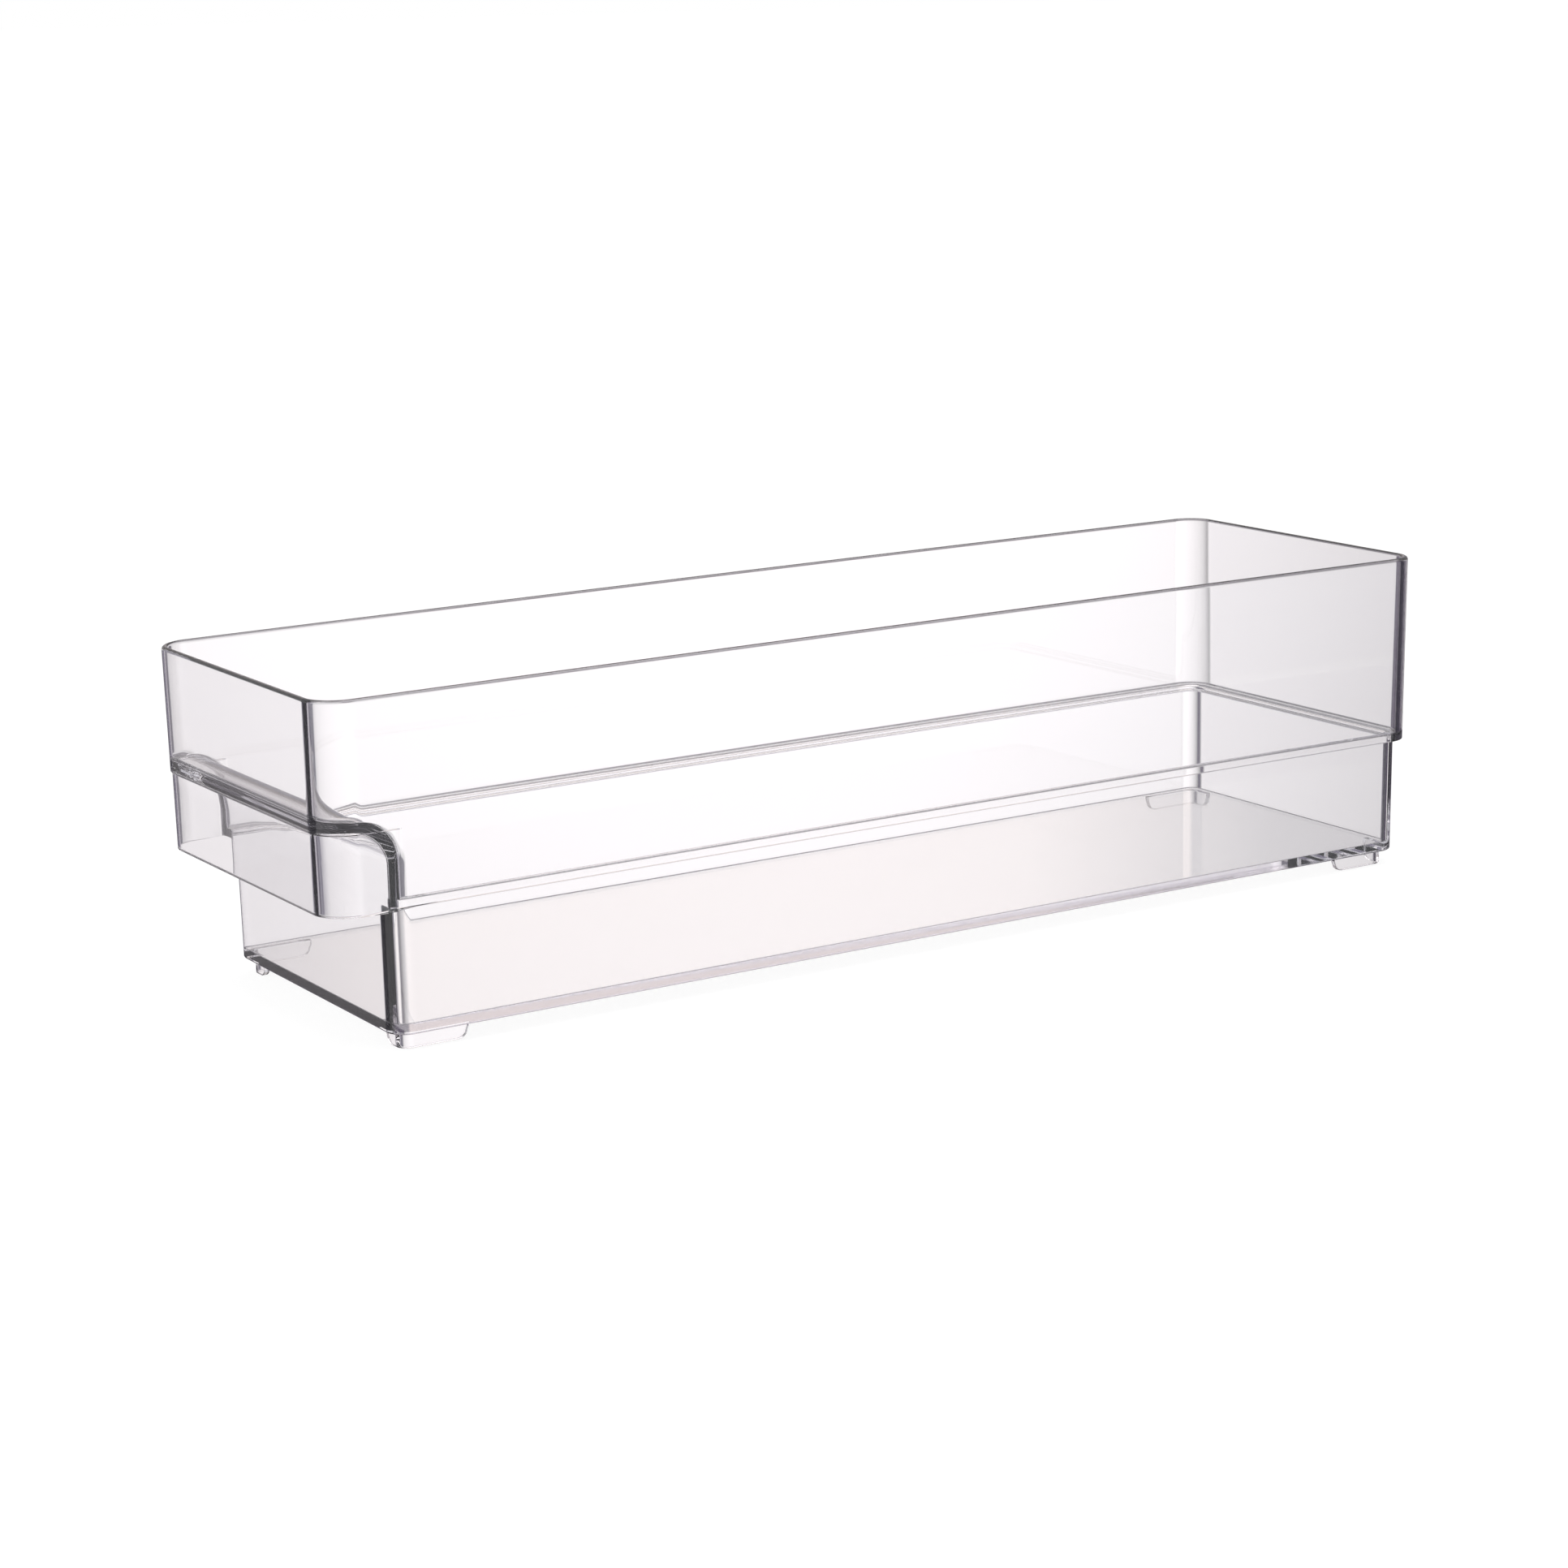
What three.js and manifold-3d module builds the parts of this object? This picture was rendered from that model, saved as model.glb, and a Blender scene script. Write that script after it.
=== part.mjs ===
// Clear plastic drawer organizer for a refrigerator: a long stepped tray with a finger pull at its front.
// Millimetres, +Z up. The pull faces -Y, the long sides run along Y, and the feet stand on z = 0.
import * as THREE from 'three';
import { mergeVertices } from 'three/addons/utils/BufferGeometryUtils.js';
import Module from 'manifold-3d';

const wasm = await Module();
wasm.setup();

// Driving dimensions of the whole tray
const rimLength = 370;            // outside, measured at the rim
const rimWidth = 110;
const overallHeight = 97;
const wall = 2;                   // moulded wall, the same everywhere but in the floor
const rimCorner = 10;             // outside corner radius of the upper walls
const upperLean = 0.4;            // how far an upper wall leans outwards from ledge to rim
const insideFillet = 1;           // where a wall meets the ledge or the floor on the inside

// Step between the wide upper tray and the narrow lower box
const ledgeUnderside = 40;        // height of the step above the table
const ledgeInset = 3.1;           // from the upper outer face to the lower outer face
const ledgeEdgeRound = 1.2;
const lowerCorner = 6;            // outside corner radius of the lower box
const lowerLean = 0.3;

// Floor and feet
const footHeight = 4.6;
const floorThickness = 2.6;
const floorEdgeRound = 1.4;
const footInset = 3;              // from the lower outer face to the foot's outer face
const footWall = 1.8;
const footLongLeg = 20;
const footShortLeg = 9;
const footEndRound = 3.2;
const footCorner = 3.6;

// Finger pull: a shelf with a pocket under it, behind a skirt
const pocketDepth = 19;           // from the front outer face to the pocket's rear wall
const pocketHeadroom = 22.4;      // from the ledge's underside to the shelf's underside
const pocketBend = 10.5;          // radius of the pocket's upper rear corner
const skirtStep = 0.4;            // how far the skirt lies inside the face above it
const skirtStepDrop = 1;          // from the shelf's underside down to that step
const skirtDrop = 0.6;            // how far the skirt hangs below the ledge's underside
const skirtEdgeRound = 0.5;

// Smoothness
const cornerSteps = 8;
const roundSteps = 4;
const overrun = 5;                // how far a cutting block reaches past what it cuts
const joinGap = 0.3;              // clearance round the shelf, where it fills the space between the walls

// Heights that follow from these
const ledgeTop = ledgeUnderside + wall;
const floorTop = footHeight + floorThickness;
const shelfUnderside = ledgeUnderside + pocketHeadroom;
const shelfTop = shelfUnderside + wall;
const skirtBottom = ledgeUnderside - skirtDrop;
const pocketFront = -rimLength / 2 + pocketDepth;
const pocketRear = pocketFront + wall;
const rimRound = wall / 2;

// The upper walls' outline at one height, drawn in by an inset. It is a rounded rectangle.
function upperOutline(height, inset) {
  const drawnIn = upperLean * (overallHeight - height) / (overallHeight - ledgeUnderside) + inset;
  return {
    halfWidth: rimWidth / 2 - drawnIn,
    front: -rimLength / 2 + drawnIn,
    rear: rimLength / 2 - drawnIn,
    radius: rimCorner - inset,
    height,
  };
}

// The lower box's outline at one height, drawn in by an inset
function lowerOutline(height, inset) {
  const above = upperOutline(ledgeUnderside, ledgeInset);
  const drawnIn = lowerLean * (ledgeUnderside - height) / (ledgeUnderside - footHeight) + inset;
  return {
    halfWidth: above.halfWidth - drawnIn,
    front: pocketFront + drawnIn,
    rear: above.rear - drawnIn,
    radius: lowerCorner - inset,
    height,
  };
}

// The points of a rounded rectangle, anticlockwise seen from above
function outlinePoints({ halfWidth, front, rear, radius, height }) {
  const corners = [
    [halfWidth - radius, rear - radius],
    [-halfWidth + radius, rear - radius],
    [-halfWidth + radius, front + radius],
    [halfWidth - radius, front + radius],
  ];
  const points = [];
  corners.forEach(([x, y], corner) => {
    for (let step = 0; step <= cornerSteps; step += 1) {
      const turn = (corner + step / cornerSteps) * Math.PI / 2;
      points.push([x + radius * Math.cos(turn), y + radius * Math.sin(turn), height]);
    }
  });
  return points;
}

// A quarter round from one [height, inset] pair to another, without the first pair. It runs level at its
// start or at its end.
function quarterRound(from, to, levelFirst) {
  const pairs = [];
  for (let step = 1; step <= roundSteps; step += 1) {
    const turn = step / roundSteps * Math.PI / 2;
    const early = Math.sin(turn);
    const late = 1 - Math.cos(turn);
    const rise = levelFirst ? late : early;
    const run = levelFirst ? early : late;
    pairs.push([from[0] + (to[0] - from[0]) * rise, from[1] + (to[1] - from[1]) * run]);
  }
  return pairs;
}

// A closed mesh from loops of points that all have the same count. A ring joins its last loop to its
// first, and a plug is capped at both ends.
function meshFromLoops(loops, ring) {
  const count = loops[0].length;
  const positions = loops.flat(2);
  const index = [];
  const bands = ring ? loops.length : loops.length - 1;
  for (let band = 0; band < bands; band += 1) {
    const low = band * count;
    const high = ((band + 1) % loops.length) * count;
    for (let point = 0; point < count; point += 1) {
      const next = (point + 1) % count;
      index.push(low + point, low + next, high + next);
      index.push(low + point, high + next, high + point);
    }
  }
  if (!ring) {
    const last = (loops.length - 1) * count;
    for (let point = 1; point < count - 1; point += 1) {
      index.push(0, point + 1, point);
      index.push(last, last + point, last + point + 1);
    }
  }
  const geometry = new THREE.BufferGeometry();
  geometry.setAttribute('position', new THREE.Float32BufferAttribute(positions, 3));
  geometry.setIndex(index);
  return geometry;
}

// A solid from a geometry: only the places of its vertices are kept, and the shared ones merged
function solid(geometry) {
  const bare = geometry.clone();
  bare.deleteAttribute('normal');
  bare.deleteAttribute('uv');
  const merged = mergeVertices(bare);
  return new wasm.Manifold(new wasm.Mesh({
    numProp: 3,
    vertProperties: new Float32Array(merged.attributes.position.array),
    triVerts: new Uint32Array(merged.index.array),
  }));
}

// A geometry from a solid
function geometryOf(body) {
  const mesh = body.getMesh();
  const geometry = new THREE.BufferGeometry();
  geometry.setAttribute('position', new THREE.BufferAttribute(new Float32Array(mesh.vertProperties), 3));
  geometry.setIndex(new THREE.BufferAttribute(new Uint32Array(mesh.triVerts), 1));
  geometry.computeVertexNormals();
  return geometry;
}

// A ring of walls: its cross-section is a list of [height, inset] pairs, up the outside and down the inside
function wallRing(outline, section) {
  const loops = section.map(([height, inset]) => outlinePoints(outline(height, inset)));
  return solid(meshFromLoops(loops, true));
}

// A capped plug, from a list of [height, inset] pairs from bottom to top
function plug(outline, section) {
  const loops = section.map(([height, inset]) => outlinePoints(outline(height, inset)));
  return solid(meshFromLoops(loops, false));
}

// A block between two corners
function block(low, high) {
  const size = high.map((value, axis) => value - low[axis]);
  const geometry = new THREE.BoxGeometry(...size);
  geometry.translate(...low.map((value, axis) => value + size[axis] / 2));
  return solid(geometry);
}

// A plate drawn in side view, with y across and z up, and extruded along x
function sideExtrusion(shape, fromX, toX) {
  const geometry = new THREE.ExtrudeGeometry(shape, {
    depth: toX - fromX, bevelEnabled: false, curveSegments: cornerSteps,
  });
  // The shape's x becomes y, its y becomes z, and the extrusion runs along x
  geometry.applyMatrix4(new THREE.Matrix4().set(
    0, 0, 1, fromX,
    1, 0, 0, 0,
    0, 1, 0, 0,
    0, 0, 0, 1,
  ));
  return solid(geometry);
}

// A plate drawn in front view, with x across and z up, and extruded along y
function frontExtrusion(shape, fromY, toY) {
  const geometry = new THREE.ExtrudeGeometry(shape, {
    depth: toY - fromY, bevelEnabled: false, curveSegments: cornerSteps,
  });
  geometry.applyMatrix4(new THREE.Matrix4().set(
    1, 0, 0, 0,
    0, 0, -1, toY,
    0, 1, 0, 0,
    0, 0, 0, 1,
  ));
  return solid(geometry);
}

// The space in front of the pocket's rear face, up to the shelf's top: the pull's share of the walls
function pullZone() {
  return block(
    [-rimWidth, -rimLength, -overrun],
    [rimWidth, pocketRear, shelfTop],
  );
}

// Upper walls: from the ledge to a round rim, and over the pull only down to the shelf's top
function upperWalls() {
  const shoulder = overallHeight - rimRound;
  const section = [
    [ledgeTop, 0],
    [shoulder, 0],
    ...quarterRound([shoulder, 0], [overallHeight, rimRound], false),
    ...quarterRound([overallHeight, rimRound], [shoulder, wall], true),
    [ledgeTop + insideFillet, wall],
    ...quarterRound([ledgeTop + insideFillet, wall], [ledgeTop, wall + insideFillet], false),
  ];
  return wallRing(upperOutline, section).subtract(pullZone());
}

// Ledge: the step's flat ring, which ends at the pocket's rear wall. Its inner edge is flush with the
// inside of the lower walls.
function ledge() {
  const innerEdge = ledgeInset + wall;
  const section = [
    [ledgeUnderside, ledgeEdgeRound],
    ...quarterRound([ledgeUnderside, ledgeEdgeRound], [ledgeUnderside + ledgeEdgeRound, 0], true),
    [ledgeTop, 0],
    [ledgeTop, innerEdge - ledgeEdgeRound],
    ...quarterRound([ledgeTop, innerEdge - ledgeEdgeRound], [ledgeTop - ledgeEdgeRound, innerEdge], true),
    [ledgeUnderside, innerEdge],
  ];
  // The ring's outer loops follow the upper walls, and its inner ones the lower box
  const loops = section.map(([height, inset]) => {
    const outer = upperOutline(height, Math.min(inset, ledgeInset));
    const inner = lowerOutline(ledgeUnderside, inset - ledgeInset);
    return outlinePoints(inset > wall ? { ...inner, height } : outer);
  });
  return solid(meshFromLoops(loops, true)).subtract(pullZone());
}

// Lower walls: the narrow box under the ledge, whose front is the lower part of the pocket's rear wall
function lowerWalls() {
  return wallRing(lowerOutline, [
    [floorTop, 0],
    [ledgeUnderside, 0],
    [ledgeUnderside, wall],
    [floorTop + insideFillet, wall],
    ...quarterRound([floorTop + insideFillet, wall], [floorTop, wall + insideFillet], false),
  ]);
}

// Floor panel, thicker than the walls, with a rounded lower edge
function floorPanel() {
  return plug(lowerOutline, [
    [footHeight, floorEdgeRound],
    ...quarterRound([footHeight, floorEdgeRound], [footHeight + floorEdgeRound, 0], true),
    [floorTop, 0],
  ]);
}

// Handle skirt: the front and two side returns that hang around the pocket, a little inside the face above
function handleSkirt() {
  const step = shelfUnderside - skirtStepDrop;
  const ring = wallRing(upperOutline, [
    [skirtBottom, skirtStep + skirtEdgeRound],
    ...quarterRound([skirtBottom, skirtStep + skirtEdgeRound], [skirtBottom + skirtEdgeRound, skirtStep], true),
    [step, skirtStep],
    [step, 0],
    [shelfTop, 0],
    [shelfTop, wall],
    [skirtBottom, wall],
  ]);
  return ring.intersect(pullZone());
}

// Handle shelf: the pocket's roof, which bends down at the back into the pocket's rear wall
function handleShelf() {
  const side = rimWidth;
  const reach = -rimLength;
  const bendTop = pocketBend + wall;
  const shape = new THREE.Shape();
  shape.moveTo(reach, shelfUnderside);
  shape.lineTo(pocketFront - pocketBend, shelfUnderside);
  shape.absarc(pocketFront - pocketBend, shelfUnderside - pocketBend, pocketBend, Math.PI / 2, 0, true);
  shape.lineTo(pocketFront, ledgeUnderside);
  shape.lineTo(pocketRear, ledgeUnderside);
  shape.lineTo(pocketRear, shelfTop - bendTop);
  shape.absarc(pocketRear - bendTop, shelfTop - bendTop, bendTop, 0, Math.PI / 2, false);
  shape.lineTo(reach, shelfTop);
  shape.closePath();
  const insideWalls = plug(upperOutline, [[ledgeUnderside, wall + joinGap], [overallHeight, wall + joinGap]]);
  return sideExtrusion(shape, -side, side).intersect(insideWalls);
}

// Foot: an upright L-shaped rib under a corner of the floor, with rounded lower ends. The signs say which
// corner: 1 is right or rear, -1 is left or front.
function foot(signX, signY) {
  const corner = lowerOutline(footHeight, footInset);
  const cornerX = corner.halfWidth;
  const cornerY = signY > 0 ? corner.rear : -corner.front;
  const innerCorner = footCorner - footWall;
  const longEnd = cornerY - footLongLeg;
  const shortEnd = cornerX - footShortLeg;

  // Plan of the L, drawn for the right rear corner, with its inner side last
  const plan = new THREE.Shape();
  plan.moveTo(cornerX, longEnd);
  plan.lineTo(cornerX, cornerY - footCorner);
  plan.absarc(cornerX - footCorner, cornerY - footCorner, footCorner, 0, Math.PI / 2, false);
  plan.lineTo(shortEnd, cornerY);
  plan.lineTo(shortEnd, cornerY - footWall);
  plan.lineTo(cornerX - footCorner, cornerY - footWall);
  plan.absarc(cornerX - footCorner, cornerY - footCorner, innerCorner, Math.PI / 2, 0, true);
  plan.lineTo(cornerX - footWall, longEnd);
  plan.closePath();
  const upright = solid(new THREE.ExtrudeGeometry(plan, {
    depth: footHeight, bevelEnabled: false, curveSegments: cornerSteps,
  }));

  // Side view of one leg: square at the corner's side, rounded at the bottom of its free end
  function legView(freeEnd, farEnd) {
    const view = new THREE.Shape();
    view.moveTo(farEnd, 0);
    view.lineTo(farEnd, footHeight);
    view.lineTo(freeEnd, footHeight);
    view.lineTo(freeEnd, footEndRound);
    view.absarc(freeEnd + footEndRound, footEndRound, footEndRound, Math.PI, Math.PI * 3 / 2, false);
    view.closePath();
    return view;
  }
  const longView = sideExtrusion(legView(longEnd, cornerY + overrun), shortEnd - overrun, cornerX + overrun);
  const shortView = frontExtrusion(legView(shortEnd, cornerX + overrun), longEnd - overrun, cornerY + overrun);
  const rib = upright.intersect(longView).intersect(shortView);
  return rib.scale([signX, signY, 1]);
}

// Clear polystyrene-like plastic with a faint lavender-grey tint
function clearPlastic(name, colour, opacity) {
  return new THREE.MeshStandardMaterial({
    name, color: colour, roughness: 0.06, metalness: 0, transparent: true, opacity,
  });
}

const organizer = new THREE.Group();

function place(name, body, colour, opacity) {
  const mesh = new THREE.Mesh(geometryOf(body), clearPlastic(`${name}_plastic`, colour, opacity));
  mesh.name = name;
  organizer.add(mesh);
}

place('upper_walls', upperWalls(), 0xe6e2e6, 0.3);
place('ledge', ledge(), 0xc9c5cd, 0.45);
place('lower_walls', lowerWalls(), 0xe3dfe2, 0.32);
place('floor_panel', floorPanel(), 0xd9d1d1, 0.42);
place('handle_skirt', handleSkirt(), 0xdedade, 0.34);
place('handle_shelf', handleShelf(), 0xb4afb6, 0.55);

const sides = { left: -1, right: 1 };
const ends = { front: -1, rear: 1 };
for (const [end, signY] of Object.entries(ends)) {
  for (const [side, signX] of Object.entries(sides)) {
    place(`foot_${end}_${side}`, foot(signX, signY), 0xded8da, 0.38);
  }
}

export default organizer;
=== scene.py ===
"""Clear plastic refrigerator organizer: its moulding, its plastic, the studio and the camera.

Sizes in the classes are in millimetres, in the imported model's frame: +Z up, the finger pull at
-Y, and the feet on z = 0. Meshes are written in metres. The floor, the lamps and the limits below
for doubled points and thin faces are given in metres.
"""

import logging
import math
from dataclasses import dataclass, replace
from enum import Enum
from typing import Any

import bmesh
import bpy
import numpy as np
from mathutils import Matrix


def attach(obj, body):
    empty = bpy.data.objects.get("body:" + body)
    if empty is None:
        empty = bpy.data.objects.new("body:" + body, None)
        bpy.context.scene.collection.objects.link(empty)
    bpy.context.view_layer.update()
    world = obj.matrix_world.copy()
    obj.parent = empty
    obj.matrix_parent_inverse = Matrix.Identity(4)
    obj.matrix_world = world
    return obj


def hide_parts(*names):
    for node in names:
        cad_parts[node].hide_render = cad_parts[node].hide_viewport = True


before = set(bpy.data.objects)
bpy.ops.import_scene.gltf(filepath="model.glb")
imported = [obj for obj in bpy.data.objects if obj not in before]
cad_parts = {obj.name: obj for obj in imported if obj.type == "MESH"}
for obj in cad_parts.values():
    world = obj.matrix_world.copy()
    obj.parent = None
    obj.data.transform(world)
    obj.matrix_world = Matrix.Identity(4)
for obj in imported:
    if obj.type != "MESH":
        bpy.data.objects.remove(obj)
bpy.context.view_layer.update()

log = logging.getLogger("organizer")
Numbers = float | np.ndarray
Span = tuple[float, float]
Triple = tuple[float, float, float]
MM = 0.001
QUARTER = math.pi / 2
SAME_POINT = 2e-7
SLIVER = 1e-7
WHITE = (1.0, 1.0, 1.0, 1.0)


class Corner(Enum):
    """A corner of the floor: its side, -1 for left, and its end, -1 for the front."""

    FRONT_LEFT = (-1, -1)
    FRONT_RIGHT = (1, -1)
    REAR_LEFT = (-1, 1)
    REAR_RIGHT = (1, 1)


class Joining(Enum):
    """What a helper solid does to the shell, as the boolean modifier calls it."""

    CUT = "DIFFERENCE"
    ADD = "UNION"


class Ray(Enum):
    """The kinds of rays that the studio tells apart, by the light path's names for them."""

    CAMERA = "Is Camera Ray"
    GLOSSY = "Is Glossy Ray"
    TRANSMISSION = "Is Transmission Ray"


def even(start: float, end: float, steps: int) -> np.ndarray:
    """Even steps from start to end, without the start itself."""
    return np.linspace(start, end, steps + 1)[1:]


def ease(value: np.ndarray, start: float, end: float) -> np.ndarray:
    """A smooth rise from 0 to 1: 3t^2 - 2t^3, where t runs from 0 at start to 1 at end.

    Args:
        value: where to read the curve.
        start: the value at which it is 0; it may be the larger one.
        end: the value at which it is 1.

    Returns:
        The curve's heights.
    """
    t = np.clip((value - start) / (end - start), 0, 1)
    return t * t * (3 - 2 * t)


def circle_drop(distance: np.ndarray, radius: float) -> np.ndarray:
    """How far a circle falls away from its tangent: r - sqrt(r^2 - e^2).

    Args:
        distance: the distance e along the tangent, from 0 to the radius.
        radius: the circle's radius r.

    Returns:
        The drops, from 0 to the radius.
    """
    return radius - np.sqrt(np.maximum(radius**2 - distance**2, 0))


def grid_faces(rows: int, columns: int) -> list[tuple[int, ...]]:
    """Faces of a grid whose columns close on themselves, capped at its first and last row.

    Args:
        rows: how many loops.
        columns: how many points in each loop.

    Returns:
        The faces, as tuples of point numbers that turn anticlockwise seen from outside.
    """
    at = np.arange(rows * columns).reshape(rows, columns)
    turned = np.roll(at, -1, axis=1)
    quads = np.stack([at[:-1], turned[:-1], turned[1:], at[1:]], axis=-1).reshape(-1, 4)
    caps = [tuple(at[0, ::-1].tolist()), tuple(at[-1].tolist())]
    return [tuple(q) for q in quads.tolist()] + caps


def closed_object(name: str, loops: np.ndarray) -> bpy.types.Object:
    """An object whose mesh is a stack of closed loops, capped at both ends and merged.

    Args:
        name: the object's name.
        loops: an array of loops by points by x, y and z, in millimetres.

    Returns:
        The new object, in the scene, with its faces pointing outwards.
    """
    mesh = bpy.data.meshes.new(name)
    mesh.from_pydata((loops.reshape(-1, 3) * MM).tolist(), [], grid_faces(*loops.shape[:2]))
    work = bmesh.new()
    work.from_mesh(mesh)
    bmesh.ops.remove_doubles(work, verts=work.verts, dist=SAME_POINT)
    bmesh.ops.dissolve_degenerate(work, edges=work.edges, dist=SLIVER)
    bmesh.ops.recalc_face_normals(work, faces=work.faces)
    work.to_mesh(mesh)
    work.free()
    made = bpy.data.objects.new(name, mesh)
    bpy.context.scene.collection.objects.link(made)
    return made


def placed(right: np.ndarray, up: np.ndarray, back: np.ndarray, place: np.ndarray) -> Matrix:
    """The matrix of a lamp or a camera, from its three axes and its place.

    Args:
        right: its own x axis.
        up: its own y axis.
        back: its own z axis, away from what it faces.
        place: where it stands, in metres.

    Returns:
        The matrix, whose columns are these four.
    """
    turned = np.eye(4)
    turned[:3] = np.stack([right, up, back, place], axis=1)
    return Matrix(turned.tolist())


@dataclass(frozen=True)
class Round:
    """A quarter circle from one face to the next, at even steps of an angle a up to 90 degrees."""

    radius: float
    steps: int = 8
    with_start: bool = False

    @property
    def turn(self) -> np.ndarray:
        """The angles, with the one at 0 only where the round starts a new strip."""
        angles = np.linspace(0, QUARTER, self.steps + 1)
        return angles if self.with_start else angles[1:]

    @property
    def gone(self) -> np.ndarray:
        """How far each point has left the first face: r(1 - cos a)."""
        return self.radius * (1 - np.cos(self.turn))

    @property
    def to_go(self) -> np.ndarray:
        """How far each point still is from the second face: r(1 - sin a)."""
        return self.radius * (1 - np.sin(self.turn))


@dataclass(frozen=True)
class Sections:
    """Level sections of a box with round corners: each field is one number, or one per height."""

    half: Numbers
    front: Numbers
    rear: Numbers
    front_round: Numbers
    rear_round: Numbers
    height: Numbers

    def tightened(self, less: Numbers) -> "Sections":
        """The same sections with smaller rounds at their front corners."""
        return replace(self, front_round=self.front_round - less)

    def rows(self) -> np.ndarray:
        """The sections as an array of 6 columns, in the order of the fields."""
        columns = (self.half, self.front, self.rear, self.front_round, self.rear_round, self.height)
        return np.stack(np.broadcast_arrays(*(np.atleast_1d(c) for c in columns)), axis=1)


@dataclass(frozen=True)
class Stations:
    """How many points go round a level section."""

    corner_steps: int = 22
    side_steps: int = 26
    end_steps: int = 10
    pull_steps: int = 20
    pull_share: float = 0.05

    def long_shares(self) -> np.ndarray:
        """Shares of a long side's length from its front: close together at the pull, then even."""
        near = np.linspace(0, self.pull_share, self.pull_steps, endpoint=False)[1:]
        return np.concatenate([near, np.linspace(self.pull_share, 1, self.side_steps)[:-1]])

    def loops(self, *sections: Sections) -> np.ndarray:
        """Points round each section, anticlockwise from above.

        A corner's points are its centre plus its radius times the cosine and sine of an angle. A
        side's points divide the line between two corners at fixed shares.

        Args:
            sections: the level sections, in the order in which their loops follow each other.

        Returns:
            An array of loops by points by x, y and z.
        """
        rows = np.concatenate([section.rows() for section in sections])
        half, front, rear, front_round, rear_round, height = (c[:, None] for c in rows.T)
        centres = (
            (half - rear_round, rear - rear_round, rear_round),
            (rear_round - half, rear - rear_round, rear_round),
            (front_round - half, front + front_round, front_round),
            (half - front_round, front + front_round, front_round),
        )
        arcs = []
        for number, (x, y, radius) in enumerate(centres):
            turn = (number + np.linspace(0, 1, self.corner_steps + 1)) * QUARTER
            arcs.append(np.stack([x + radius * np.cos(turn), y + radius * np.sin(turn)], axis=-1))
        along = self.long_shares()
        across = even(0, 1, self.end_steps)[:-1]
        parts = []
        for number, shares in enumerate((across, 1 - along[::-1], across, along)):
            start, end = arcs[number][:, -1:], arcs[(number + 1) % len(arcs)][:, :1]
            parts += [arcs[number], start + (end - start) * shares[None, :, None]]
        flat = np.concatenate(parts, axis=1)
        level = np.broadcast_to(height[:, :, None], flat.shape[:2] + (1,))
        return np.concatenate([flat, level], axis=2)


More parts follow.
